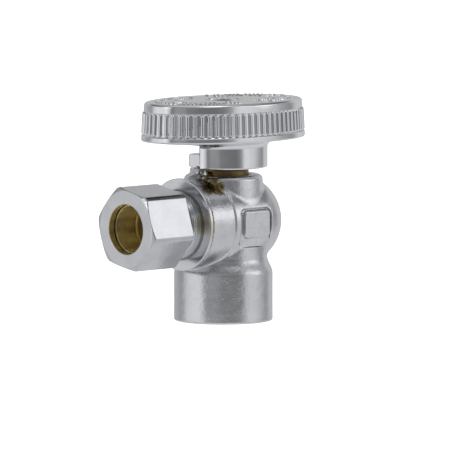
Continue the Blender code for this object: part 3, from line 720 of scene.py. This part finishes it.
# Half length and half width of each row's oval, marks in a full turn, first and last mark, length of a mark
MARK_ROWS = [(16.2, 9.7, 96, 4, 44, 1.3), (16.2, 9.7, 96, 52, 92, 1.3)]
MARK_ROWS += [(12.6, 6.9, 64, 3, 29, 1.0), (12.6, 6.9, 64, 35, 61, 1.0)]


def make_marks():
    """Generic raised marks on the top: rows of short bars of uneven length, along the oval."""
    points = []
    faces = []
    pick = np.random.RandomState(4)
    for rim, waist, count, start, end, tall in MARK_ROWS:
        place, outward, _ = oval_outline(rim, waist, count)
        for k in range(start, end):
            if pick.rand() < 0.16:
                continue
            length = tall * (0.6 + 0.4 * pick.rand())
            mark(points, faces, place[k % count], outward[k % count], length, 0.44, MARK_TOP)
            if pick.rand() < 0.5:
                along = place[(k + 1) % count] - place[(k - 1) % count]
                middle = place[k % count] + outward[k % count] * tall * (pick.rand() - 0.5) * 0.7
                mark(points, faces, middle, along, 0.8, 0.4, STROKE_TOP)
    return make_object("knob_marks", points, faces, sharp=25)


HEAD_RADIUS = 3.1
CROSS_HALF_WIDTH = 0.42
CROSS_REACH = 1.6
LOCK_WASHER_MIDDLE = 43.95
LOCK_WASHER_INNER = 1.9


def screw_field(x, y, z):
    radial = np.hypot(x, y)
    turns = z / STEM_PITCH - np.arctan2(y, x) / (2 * np.pi)
    fade = np.clip((z - 35.4) / 0.6, 0, 1) * np.clip((43.4 - z) / 0.8, 0, 1)
    shank = radial - 1.4 - (tooth_wave(turns) - 0.55) * 0.24 * fade
    shank = np.maximum(shank * 0.8, np.maximum(35.3 - z, z - 45))
    crown = np.sqrt(radial**2 + (z - 39.39) ** 2) - 7.0
    head = round_both(radial - HEAD_RADIUS, 44.6 - z, 0.12)
    head = round_both(head, crown, 0.25)
    across = np.abs(x)
    along = np.abs(y)
    first = np.maximum(across - CROSS_HALF_WIDTH, along - CROSS_REACH)
    second = np.maximum(along - CROSS_HALF_WIDTH, across - CROSS_REACH)
    recess = np.maximum(np.minimum(first, second) + (46.4 - z) * 0.18, 45.3 - z)
    return round_cut(np.minimum(shank, head), recess, 0.08)


def make_screw():
    return sculpted("pan_head_screw", screw_field, (-3.4, -3.4, 35.0), (3.4, 3.4, 46.7), 0.12)


def washer_field(x, y, z):
    radial = np.hypot(x, y)
    above = z - LOCK_WASHER_MIDDLE
    ring = np.maximum(radial - HEAD_RADIUS, LOCK_WASHER_INNER - radial)
    ring = round_both(ring, np.abs(above) - 0.33, 0.1)
    split = np.maximum(np.abs(y + above * 0.6) - 0.22, -x)
    return round_cut(ring, split, 0.06)


def make_washer():
    return sculpted("split_washer", washer_field, (-3.4, -3.4, 43.4), (3.4, 3.4, 44.5), 0.1)


# Materials


def new_material(name):
    material = bpy.data.materials.new(name)
    material.use_nodes = True
    nodes = material.node_tree.nodes
    return material, nodes, material.node_tree.links, nodes["Principled BSDF"]


def noise(nodes, links, where, scale, detail=4.0, rough=0.55):
    node = nodes.new("ShaderNodeTexNoise")
    node.inputs["Scale"].default_value = scale
    node.inputs["Detail"].default_value = detail
    node.inputs["Roughness"].default_value = rough
    links.new(where, node.inputs["Vector"])
    return node.outputs["Fac"]


def ramp(nodes, links, value, stops):
    node = nodes.new("ShaderNodeValToRGB")
    while len(node.color_ramp.elements) < len(stops):
        node.color_ramp.elements.new(0.5)
    for element, (at, colour) in zip(node.color_ramp.elements, stops):
        element.position = at
        element.color = (*colour, 1)
    links.new(value, node.inputs["Fac"])
    return node.outputs["Color"]


def grey(value):
    return (value, value, value)


def spread(nodes, links, value, low, high, start=0.3, end=0.7):
    node = nodes.new("ShaderNodeMapRange")
    node.inputs["From Min"].default_value = start
    node.inputs["From Max"].default_value = end
    node.inputs["To Min"].default_value = low
    node.inputs["To Max"].default_value = high
    links.new(value, node.inputs["Value"])
    return node.outputs["Result"]


def calculate(nodes, links, operation, first, second):
    node = nodes.new("ShaderNodeMath")
    node.operation = operation
    for socket, value in zip(node.inputs, (first, second)):
        if isinstance(value, (int, float)):
            socket.default_value = value
        else:
            links.new(value, socket)
    return node.outputs["Value"]


def stretched(nodes, links, where, scale):
    node = nodes.new("ShaderNodeMapping")
    node.inputs["Scale"].default_value = scale
    links.new(where, node.inputs["Vector"])
    return node.outputs["Vector"]


def add_bump(nodes, links, shader, heights):
    """Bump nodes in a chain, one for each (value, depth in millimetres)."""
    normal = None
    for value, depth in heights:
        node = nodes.new("ShaderNodeBump")
        node.inputs["Distance"].default_value = depth * MM
        links.new(value, node.inputs["Height"])
        if normal is not None:
            links.new(normal, node.inputs["Normal"])
        normal = node.outputs["Normal"]
    links.new(normal, shader.inputs["Normal"])


def mix_colour(nodes, links, share, first, second):
    node = nodes.new("ShaderNodeMix")
    node.data_type = "RGBA"
    links.new(share, node.inputs[0])
    links.new(first, node.inputs[6])
    links.new(second, node.inputs[7])
    return node.outputs[2]


def dents(nodes, links, where, scale, size):
    """Small round pits, 1 on the flat and 0 at the bottom of a pit."""
    node = nodes.new("ShaderNodeTexVoronoi")
    node.inputs["Scale"].default_value = scale
    links.new(where, node.inputs["Vector"])
    return spread(nodes, links, node.outputs["Distance"], 0.0, 1.0, 0.0, size)


def plated(name, dark, light, rough, depths, pits=None, lines=None):
    """Chrome plate over metal: cloudy colour, uneven gloss, fine grain, soft waves and a few pits.

    Depths are those of the grain and of the waves, in millimetres.
    """
    material, nodes, links, shader = new_material(name)
    where = nodes.new("ShaderNodeTexCoord").outputs["Object"]
    cloud = noise(nodes, links, where, 300, 4)
    fine = noise(nodes, links, where, 2600, 3)
    colour = ramp(nodes, links, cloud, [(0.3, dark), (0.7, light)])
    links.new(colour, shader.inputs["Base Color"])
    shader.inputs["Metallic"].default_value = 1.0
    links.new(spread(nodes, links, cloud, rough[0], rough[1]), shader.inputs["Roughness"])
    heights = [(noise(nodes, links, where, 700, 2), depths[1]), (fine, depths[0])]
    if pits:
        heights.append((dents(nodes, links, where, pits[0], pits[1]), pits[2]))
    if lines:
        heights.append((noise(nodes, links, stretched(nodes, links, where, lines[0]), 1000, 2), lines[1]))
    add_bump(nodes, links, shader, heights)
    return material, nodes, links, shader, colour, where


def brass(name, dark, light, rough, lines, metal=1.0, grain=0.008, streaks=(1, 1, 1), detail=4):
    """Bare turned brass: tool lines round the axis, and tarnish in clouds or in streaks."""
    material, nodes, links, shader = new_material(name)
    where = nodes.new("ShaderNodeTexCoord").outputs["Object"]
    cloud = noise(nodes, links, stretched(nodes, links, where, streaks), 420, detail)
    links.new(ramp(nodes, links, cloud, [(0.3, dark), (0.7, light)]), shader.inputs["Base Color"])
    shader.inputs["Metallic"].default_value = metal
    fine = noise(nodes, links, where, 2600, 3)
    links.new(spread(nodes, links, fine, rough[0], rough[1]), shader.inputs["Roughness"])
    tool = noise(nodes, links, stretched(nodes, links, where, lines), 5200, 1)
    add_bump(nodes, links, shader, [(tool, grain), (fine, grain)])
    return material


def plastic(name, dark, light, rough, grain):
    material, nodes, links, shader = new_material(name)
    where = nodes.new("ShaderNodeTexCoord").outputs["Object"]
    cloud = noise(nodes, links, where, 500, 4)
    fine = noise(nodes, links, where, 3000, 3)
    links.new(ramp(nodes, links, cloud, [(0.3, dark), (0.7, light)]), shader.inputs["Base Color"])
    links.new(spread(nodes, links, fine, rough[0], rough[1]), shader.inputs["Roughness"])
    add_bump(nodes, links, shader, [(fine, grain)])
    return material


def patch(nodes, links, where, centre, size, ragged):
    """A ragged patch: 1 round the centre, 0 beyond the size, in millimetres."""
    apart = nodes.new("ShaderNodeVectorMath")
    apart.operation = "DISTANCE"
    links.new(where, apart.inputs[0])
    apart.inputs[1].default_value = [c * MM for c in centre]
    wobble = calculate(nodes, links, "MULTIPLY", noise(nodes, links, where, 1100, 4), ragged * MM)
    total = calculate(nodes, links, "ADD", apart.outputs["Value"], wobble)
    return spread(nodes, links, total, 1.0, 0.0, (size - 0.6 + ragged / 2) * MM, (size + ragged / 2) * MM)


# Spots of the body's rough and worn patches, darkened with painted shade, (centre, size) in millimetres, and
# the colours in each patch
ROUGH_AND_SHADE_SPOTS = [((1.0, -8.6, 29.9), 2.2), ((-0.8, -8.2, 30.4), 1.7)]
ROUGH_AND_SHADE_SPOTS += [((3.1, -9.4, 28.9), 1.7), ((1.3, -6.9, 31.2), 1.7)]
WORN_AND_SHADE_SPOTS = [((4.9, -7.6, 28.2), 2.7), ((3.3, -8.1, 29.1), 2.2)]
WORN_AND_SHADE_SPOTS += [((2.4, -6.4, 31.5), 1.1), ((5.9, -10.3, 27.9), 1.4)]
ROUGH_AND_SHADE_STOPS = [(0.40, grey(0.03)), (0.47, grey(0.18)), (0.57, grey(0.32)), (0.64, grey(0.9))]
WORN_AND_SHADE_STOPS = [(0.36, (0.08, 0.06, 0.025)), (0.46, (0.19, 0.15, 0.065))]
WORN_AND_SHADE_STOPS += [(0.62, (0.27, 0.21, 0.09)), (0.68, (0.9, 0.85, 0.7))]

# Darker and lighter ends of the plate on the body and the adapter, and of the PTFE
PLATE = ((0.60, 0.61, 0.64), (0.70, 0.71, 0.74))
PTFE = ((0.78, 0.78, 0.75), (0.86, 0.86, 0.83))


def body_material():
    """The plated forging, with a rough and a worn patch where the outlet meets the collar, both partly
    painted shade.
    """
    material, nodes, links, shader, colour, where = plated(
        "satin_plate_body", *PLATE, (0.20, 0.30), (0.026, 0.05), (900, 0.22, 0.02)
    )
    # Each patch mixes in darker colours: rough and worn plate, with painted shade for the gap under the knob
    for spots, stops in ((ROUGH_AND_SHADE_SPOTS, ROUGH_AND_SHADE_STOPS), (WORN_AND_SHADE_SPOTS, WORN_AND_SHADE_STOPS)):
        share = None
        for centre, size in spots:
            spot = patch(nodes, links, where, centre, size, 2.2)
            share = spot if share is None else calculate(nodes, links, "MAXIMUM", share, spot)
        bare = ramp(nodes, links, noise(nodes, links, where, 1500, 4), stops)
        colour = mix_colour(nodes, links, share, colour, bare)
    links.new(colour, shader.inputs["Base Color"])
    return material


def paint_dark_reflection_edge(parts, centre):
    """A dark, uneven line along one long edge of the nut: a painted reflection of a dark part of the studio.
    """
    nodes, links, shader, _, where = parts[1:]
    share = patch(nodes, links, stretched(nodes, links, where, (1, 0, 1)), centre, 0.78, 0.5)
    plate = shader.inputs["Base Color"].links[0].from_socket
    stops = [(0.35, (0.02, 0.015, 0.01)), (0.65, (0.12, 0.10, 0.08))]
    dull = ramp(nodes, links, noise(nodes, links, where, 1800, 3), stops)
    links.new(mix_colour(nodes, links, share, plate, dull), shader.inputs["Base Color"])


def brass_inside(parts, dark, light, edge):
    """Bare brass nearer the outlet's axis than the edge, in millimetres, on a plated material.

    It hands back the distance from that axis.
    """
    nodes, links, shader, colour, where = parts[1:]
    split = nodes.new("ShaderNodeSeparateXYZ")
    links.new(where, split.inputs["Vector"])
    low = calculate(nodes, links, "SUBTRACT", split.outputs["Z"], OUTLET_Z * MM)
    square = calculate(nodes, links, "MULTIPLY", low, low)
    across = calculate(nodes, links, "MULTIPLY", split.outputs["X"], split.outputs["X"])
    radius = calculate(nodes, links, "SQRT", calculate(nodes, links, "ADD", square, across), 0)
    inside = spread(nodes, links, radius, 1.0, 0.0, edge * MM, (edge + 0.1) * MM)
    bare = ramp(nodes, links, noise(nodes, links, where, 420, 4), [(0.3, dark), (0.7, light)])
    links.new(mix_colour(nodes, links, inside, colour, bare), shader.inputs["Base Color"])
    links.new(spread(nodes, links, inside, 1.0, 0.6, 0.0, 1.0), shader.inputs["Metallic"])
    return radius


def tool_rings(nodes, links, shader, radius):
    """Faint turned rings, from the distance to the axis, over the bump that's there."""
    turns = nodes.new("ShaderNodeCombineXYZ")
    links.new(radius, turns.inputs["X"])
    tool = nodes.new("ShaderNodeBump")
    tool.inputs["Distance"].default_value = 0.004 * MM
    links.new(noise(nodes, links, turns.outputs["Vector"], 3200, 2), tool.inputs["Height"])
    links.new(shader.inputs["Normal"].links[0].from_socket, tool.inputs["Normal"])
    links.new(tool.outputs["Normal"], shader.inputs["Normal"])


def adapter_material():
    """Plated outside, bare brass in the tube socket and the bore, a stain, and painted shade in the crease on
    the flange.
    """
    material, nodes, links, shader, colour, where = plated(
        "bright_plate_adapter", *PLATE, (0.17, 0.26), (0.0015, 0.003), None, ((0.1, 3, 0.1), 0.0015)
    )
    stain = patch(nodes, links, where, (8.7, -12.2, 21.3), 3.0, 1.4)
    cloud = noise(nodes, links, where, 500, 2)
    tarnish = ramp(nodes, links, cloud, [(0.3, (0.58, 0.56, 0.50)), (0.7, (0.70, 0.68, 0.62))])
    stained = mix_colour(nodes, links, stain, colour, tarnish)
    parts = (material, nodes, links, shader, stained, where)
    radius = brass_inside(parts, (0.45, 0.33, 0.09), (0.66, 0.50, 0.16), 6.2)
    # Painted shade: a dark ring in the crease where the neck meets the flange's face
    split = nodes.new("ShaderNodeSeparateXYZ")
    links.new(where, split.inputs["Vector"])
    ring = nodes.new("ShaderNodeCombineXYZ")
    links.new(radius, ring.inputs["X"])
    links.new(split.outputs["Y"], ring.inputs["Y"])
    corner = patch(nodes, links, ring.outputs["Vector"], (7.15, -12.45, 0), 0.52, 0.5)
    crease_shade = ramp(nodes, links, cloud, [(0.3, (0.08, 0.075, 0.065)), (0.7, (0.24, 0.23, 0.20))])
    plate = shader.inputs["Base Color"].links[0].from_socket
    links.new(mix_colour(nodes, links, corner, plate, crease_shade), shader.inputs["Base Color"])
    tool_rings(nodes, links, shader, radius)
    return material


def dress(piece, material, body, node):
    piece.data.materials.clear()
    piece.data.materials.append(material)
    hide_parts(node)
    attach(piece, body)


def make_pieces():
    """Every material, then every piece with its material, slot, body and the CAD node that it replaces."""
    bright = plated(
        "satin_plate_knob",
        (0.68, 0.69, 0.72),
        (0.77, 0.78, 0.81),
        (0.05, 0.10),
        (0.003, 0.009),
        (700, 0.14, 0.010),
    )[0]
    polished = plated(
        "bright_plate_nut",
        (0.53, 0.54, 0.57),
        (0.61, 0.62, 0.65),
        (0.08, 0.14),
        (0.012, 0.014),
        (420, 0.07, 0.02),
        ((0.5, 2, 3), 0.018),
    )
    brass_inside(polished, (0.30, 0.22, 0.07), (0.56, 0.43, 0.15), 5.16)
    # Painted reflection: a dark line along one edge of the nut
    paint_dark_reflection_edge(polished, (6.1, 0, 27.54))
    steel = plated(
        "bright_steel_screw", (0.60, 0.61, 0.63), (0.70, 0.71, 0.73), (0.14, 0.24), (0.006, 0.01)
    )[0]
    spring = plated(
        "spring_steel_washer", (0.36, 0.36, 0.37), (0.48, 0.48, 0.49), (0.25, 0.38), (0.008, 0.01)
    )[0]
    mirror = plated(
        "mirror_plate_ball", (0.70, 0.72, 0.75), (0.78, 0.80, 0.83), (0.03, 0.07), (0.001, 0.002)
    )[0]
    yellow = brass(
        "turned_brass_sleeve",
        (0.27, 0.20, 0.07),
        (1.0, 0.88, 0.42),
        (0.22, 0.28),
        (0.1, 1, 0.1),
        metal=0.7,
        grain=0.001,
        streaks=(1.0, 0.12, 1.0),
        detail=1,
    )
    dull = brass("turned_brass_stem", (0.38, 0.26, 0.08), (0.52, 0.37, 0.13), (0.25, 0.38), (0.1, 0.1, 1))
    # The gland's brass is painted dark: painted shade for the gap under the knob
    ring = brass("painted_shade_brass_gland", (0.17, 0.12, 0.05), (0.26, 0.19, 0.08), (0.35, 0.48), (0.1, 0.1, 1))
    white = plastic("white_ptfe_seat", *PTFE, (0.38, 0.5), 0.01)
    white_washer = plastic("white_ptfe_washer", *PTFE, (0.38, 0.5), 0.01)
    rubber = plastic("black_rubber_ring", (0.012, 0.012, 0.013), (0.03, 0.03, 0.032), (0.45, 0.6), 0.012)
    dress(make_body(), body_material(), "body", "valve_body")
    dress(make_adapter(), adapter_material(), "body", "outlet_adapter")
    adapter_ring = torus("adapter_ring", 6.55, 0.5, 10.2, "outlet")
    dress(adapter_ring, rubber, "body", "adapter_o_ring")
    dress(make_ball(), mirror, "ball", "ball")
    dress(make_seat("seat_ring_front", 1), white, "body", "front_seat")
    dress(make_seat("seat_ring_rear", -1), white, "body", "rear_seat")
    dress(make_stem(), dull, "handle", "stem")
    stem_ring = torus("stem_ring", 2.8, 0.45, STEM_RING_HEIGHT, "up")
    dress(stem_ring, rubber, "handle", "stem_o_ring")
    dress(make_thrust_washer(), white_washer, "body", "stem_thrust_washer")
    dress(make_gland(), ring, "body", "stem_gland")
    for piece in (make_knob(), make_skirt(), make_marks()):
        dress(piece, bright, "handle", "handle")
    dress(make_screw(), steel, "handle", "handle_screw")
    dress(make_washer(), spring, "handle", "screw_lock_washer")
    dress(make_nut(), polished[0], "nut", "compression_nut")
    dress(make_sleeve(), yellow, "sleeve", "compression_sleeve")


# Studio

CAMERA_AZIMUTH = 47.0
CAMERA_ELEVATION = 5.6
CAMERA_DISTANCE = 1.5
CAMERA_TARGET_HEIGHT = 0.0198
CAMERA_TARGET_SIDE = 0.00035
PIXELS_PER_METRE = 4800
IMAGE_SIZE = 450
SENSOR_WIDTH = 36
LAMP_TARGET_HEIGHT = 0.022
FLOOR_HALF_SIZE = 6.0


def direction(azimuth, elevation):
    a = math.radians(azimuth)
    e = math.radians(elevation)
    return Vector((math.sin(a) * math.cos(e), -math.cos(a) * math.cos(e), math.sin(e)))


def make_camera():
    data = bpy.data.cameras.new("camera")
    camera = bpy.data.objects.new("camera", data)
    bpy.context.scene.collection.objects.link(camera)
    towards = direction(CAMERA_AZIMUTH, CAMERA_ELEVATION)
    side = direction(CAMERA_AZIMUTH + 90, 0)
    target = Vector((0, 0, CAMERA_TARGET_HEIGHT)) + side * CAMERA_TARGET_SIDE
    camera.location = target + towards * CAMERA_DISTANCE
    camera.rotation_euler = (-towards).to_track_quat("-Z", "Y").to_euler()
    data.sensor_width = SENSOR_WIDTH
    data.lens = SENSOR_WIDTH * PIXELS_PER_METRE * CAMERA_DISTANCE / IMAGE_SIZE
    data.clip_start = 0.05
    bpy.context.scene.camera = camera


def make_lamp(name, turn, elevation, distance, width, height, glow):
    """A soft rectangular lamp. Its turn is counted from the camera's side, to the right, round the object."""
    data = bpy.data.lights.new(name, "AREA")
    data.shape = "RECTANGLE"
    data.size = width
    data.size_y = height
    data.energy = glow * width * height * math.pi
    lamp = bpy.data.objects.new(name, data)
    bpy.context.scene.collection.objects.link(lamp)
    towards = direction(CAMERA_AZIMUTH + turn, elevation)
    lamp.location = Vector((0, 0, LAMP_TARGET_HEIGHT)) + towards * distance
    lamp.rotation_euler = (-towards).to_track_quat("-Z", "Y").to_euler()
    lamp.visible_camera = False
    return lamp


def make_floor():
    """A pale floor that shows from above only, so that the underside can be looked at."""
    size = FLOOR_HALF_SIZE
    low = cad_bounds[0][2] - 0.05 * MM
    mesh = bpy.data.meshes.new("floor")
    corners = [(-size, -size, low), (size, -size, low), (size, size, low), (-size, size, low)]
    mesh.from_pydata(corners, [], [(0, 1, 2, 3)])
    floor = bpy.data.objects.new("floor", mesh)
    bpy.context.scene.collection.objects.link(floor)
    material, nodes, links, shader = new_material("pale_floor")
    where = nodes.new("ShaderNodeTexCoord").outputs["Object"]
    cloud = noise(nodes, links, where, 3, 2)
    links.new(ramp(nodes, links, cloud, [(0.3, grey(0.92)), (0.7, grey(0.95))]), shader.inputs["Base Color"])
    shader.inputs["Roughness"].default_value = 0.9
    shader.inputs["Specular IOR Level"].default_value = 0.1
    shader.inputs["Emission Color"].default_value = (1, 1, 1, 1)
    shader.inputs["Emission Strength"].default_value = 0.72
    clear = nodes.new("ShaderNodeBsdfTransparent")
    mix = nodes.new("ShaderNodeMixShader")
    links.new(nodes.new("ShaderNodeNewGeometry").outputs["Backfacing"], mix.inputs[0])
    links.new(shader.outputs[0], mix.inputs[1])
    links.new(clear.outputs[0], mix.inputs[2])
    links.new(mix.outputs[0], nodes["Material Output"].inputs["Surface"])
    mesh.materials.append(material)
    floor.visible_glossy = False


# Brightness round the object, counted in degrees from the camera's side to the right
PANELS = [(-180, 0.50), (-150, 0.54), (-133, 0.48), (-114, 0.38), (-104, 0.55), (-97, 0.78), (-85, 0.88)]
PANELS += [(-63, 0.92), (-57, 1.05), (-52, 0.88), (-46, 0.58), (-42, 0.26), (-38, 0.28)]
PANELS += [(-31, 0.36), (-13, 0.34), (-7, 0.25)]
PANELS += [(10, 0.22), (34, 0.20), (43, 0.27), (50, 0.42), (57, 0.80), (66, 0.84), (78, 0.75), (88, 0.71)]
PANELS += [(97, 0.60), (106, 0.47), (115, 0.38), (123, 0.34), (128, 0.50)]
PANELS += [(136, 0.68), (152, 0.64), (180, 0.50)]

# Brightness with height: 0 straight down, 0.5 level, 1 straight up; and how much of the panels shows there
OVER = [(0.0, grey(0.80)), (0.35, grey(0.66)), (0.66, grey(1.0)), (0.74, grey(0.24)), (0.80, grey(0.16))]
OVER += [(0.87, grey(0.34)), (1.0, grey(0.75))]
KEEP = [(0.32, grey(0.0)), (0.425, grey(1.0)), (0.66, grey(1.0)), (0.74, grey(0.0))]

# Round softboxes: turn, elevation, extra brightness, and how far from the middle the fade starts and stops
SPOTS = [(88, 18, 0.66, 0.12, 0.30), (-57, 22, 0.8, 0.10, 0.28), (50, 62, 1.6, 0.12, 0.32)]
SPOTS += [(68, 30, 0.8, 0.10, 0.22)]


def make_world():
    """A light tent: panels round the object, a dark gap above them, a soft top and a pale table below."""
    world = bpy.data.worlds.new("studio")
    bpy.context.scene.world = world
    world.use_nodes = True
    nodes = world.node_tree.nodes
    links = world.node_tree.links
    where = nodes.new("ShaderNodeTexCoord").outputs["Generated"]
    turned_view = nodes.new("ShaderNodeVectorRotate")
    turned_view.rotation_type = "Z_AXIS"
    turned_view.inputs["Angle"].default_value = math.radians(90 - CAMERA_AZIMUTH)
    links.new(where, turned_view.inputs["Vector"])
    split = nodes.new("ShaderNodeSeparateXYZ")
    links.new(turned_view.outputs["Vector"], split.inputs["Vector"])
    angle = calculate(nodes, links, "ARCTAN2", split.outputs["Y"], split.outputs["X"])
    share = spread(nodes, links, angle, 0.0, 1.0, -math.pi, math.pi)
    around = ramp(nodes, links, share, [((turn + 180) / 360, grey(level)) for turn, level in PANELS])
    height = spread(nodes, links, split.outputs["Z"], 0.0, 1.0, -1.0, 1.0)
    over = ramp(nodes, links, height, OVER)
    keep = ramp(nodes, links, height, KEEP)
    shade = mix_colour(nodes, links, keep, over, around)
    for turn, elevation, level, inner, outer in SPOTS:
        apart = nodes.new("ShaderNodeVectorMath")
        apart.operation = "DISTANCE"
        links.new(turned_view.outputs["Vector"], apart.inputs[0])
        apart.inputs[1].default_value = direction(90 + turn, elevation)
        spot = spread(nodes, links, apart.outputs["Value"], level, 0.0, inner, outer)
        shade = calculate(nodes, links, "ADD", shade, spot)
    links.new(shade, nodes["Background"].inputs["Color"])


def make_studio():
    make_camera()
    make_floor()
    make_world()
    for lamp in (
        make_lamp("right_softbox", 86, 18, 0.6, 0.5, 0.5, 0.5),
        make_lamp("left_softbox", -73, 18, 0.6, 0.5, 0.5, 0.3),
        make_lamp("outlet_softbox", -42, 8, 0.5, 0.2, 0.2, 6.0),
    ):
        lamp.visible_glossy = False
    bpy.context.scene.view_settings.view_transform = "Standard"


make_pieces()
make_studio()
